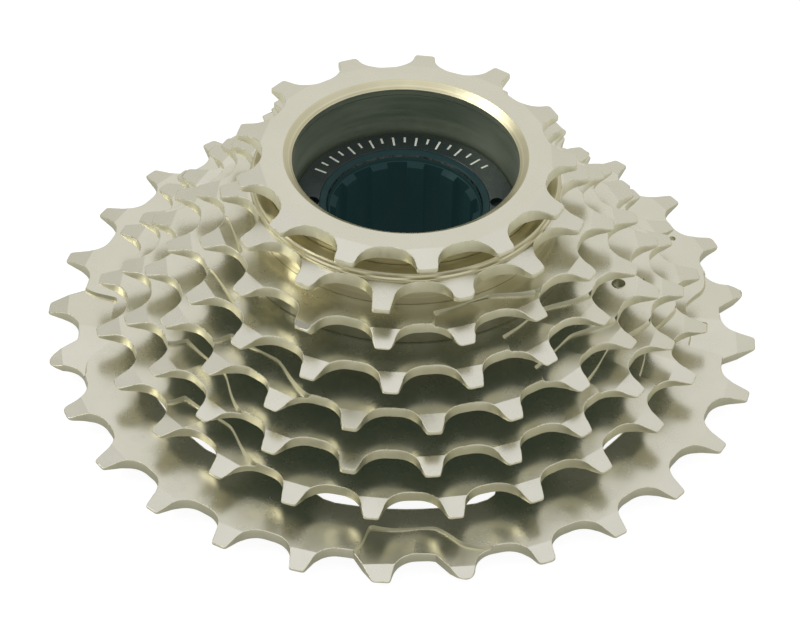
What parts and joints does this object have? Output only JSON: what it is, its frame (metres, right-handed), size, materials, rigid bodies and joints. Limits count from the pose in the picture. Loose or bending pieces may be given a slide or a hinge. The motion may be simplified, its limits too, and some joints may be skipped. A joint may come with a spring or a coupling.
{
  "type": "multi-speed screw-on freewheel",
  "caption": "Stack of toothed sprockets on a ratcheting freewheel body, with a splined remover socket and a threaded bore that screws onto a bicycle hub.",
  "frame": {"origin": "on the spin axis, at the core's back face that rests against the hub", "axes": "+Z along the spin axis, from the hub and the largest sprocket towards the smallest sprocket; +X and +Y lie in the plane of the back face, with +Y away from the viewer of the reference view"},
  "size_m": [0.1166, 0.1166, 0.0397],
  "materials": {
    "nickel_plate": "satin nickel plate",
    "black_oxide": "oiled black oxide",
    "body_steel": "machined and dull plated",
    "bright_steel": "ground bearing steel",
    "spring_steel": "drawn spring wire",
    "seal": "matte"
  },
  "bodies": {
    "core": {"inner_core": "black_oxide", "bearing_cone": "black_oxide", "thick_shim": "bright_steel", "thin_shim": "bright_steel", "pawl_spring": "spring_steel"},
    "driver": {"outer_body": "body_steel", "sprocket_13t": "nickel_plate", "sprocket_14t": "nickel_plate", "sprocket_16t": "nickel_plate", "sprocket_18t": "nickel_plate", "sprocket_20t": "nickel_plate", "sprocket_22t": "nickel_plate", "sprocket_24t": "nickel_plate", "sprocket_28t": "nickel_plate", "spacer_16_18": "nickel_plate", "spacer_18_20": "nickel_plate", "spacer_20_22": "nickel_plate", "spacer_22_24": "nickel_plate", "spacer_24_28": "nickel_plate", "rear_dust_seal": "seal"},
    "front_balls": {"front_ball_row": "bright_steel"},
    "rear_balls": {"rear_ball_row": "bright_steel"},
    "pawl_a": {"pawl_a": "bright_steel"},
    "pawl_b": {"pawl_b": "bright_steel"}
  },
  "joints": [
    {"name": "freewheel_spin", "type": "hinge", "parent": "core", "child": "driver", "pos_m": [0, 0, 0], "axis": [0, 0, 1], "continuous": true},
    {"name": "front_balls_orbit", "type": "hinge", "parent": "core", "child": "front_balls", "pos_m": [0, 0, 0], "axis": [0, 0, 1], "continuous": true},
    {"name": "rear_balls_orbit", "type": "hinge", "parent": "core", "child": "rear_balls", "pos_m": [0, 0, 0], "axis": [0, 0, 1], "continuous": true},
    {"name": "pawl_a_tilt", "type": "hinge", "parent": "core", "child": "pawl_a", "pos_m": [0.0088, 0.01524, 0.018], "axis": [0, 0, 1], "range_deg": [-16, 0], "stiffness_Nm_per_rad": 0.01, "springref_deg": -27.5},
    {"name": "pawl_b_tilt", "type": "hinge", "parent": "core", "child": "pawl_b", "pos_m": [-0.0088, -0.01524, 0.018], "axis": [0, 0, 1], "range_deg": [-16, 0], "stiffness_Nm_per_rad": 0.01, "springref_deg": -27.5}
  ],
  "couplings": [
    {"joint": "front_balls_orbit", "follows": "freewheel_spin", "ratio": 0.535},
    {"joint": "rear_balls_orbit", "follows": "freewheel_spin", "ratio": 0.527}
  ]
}
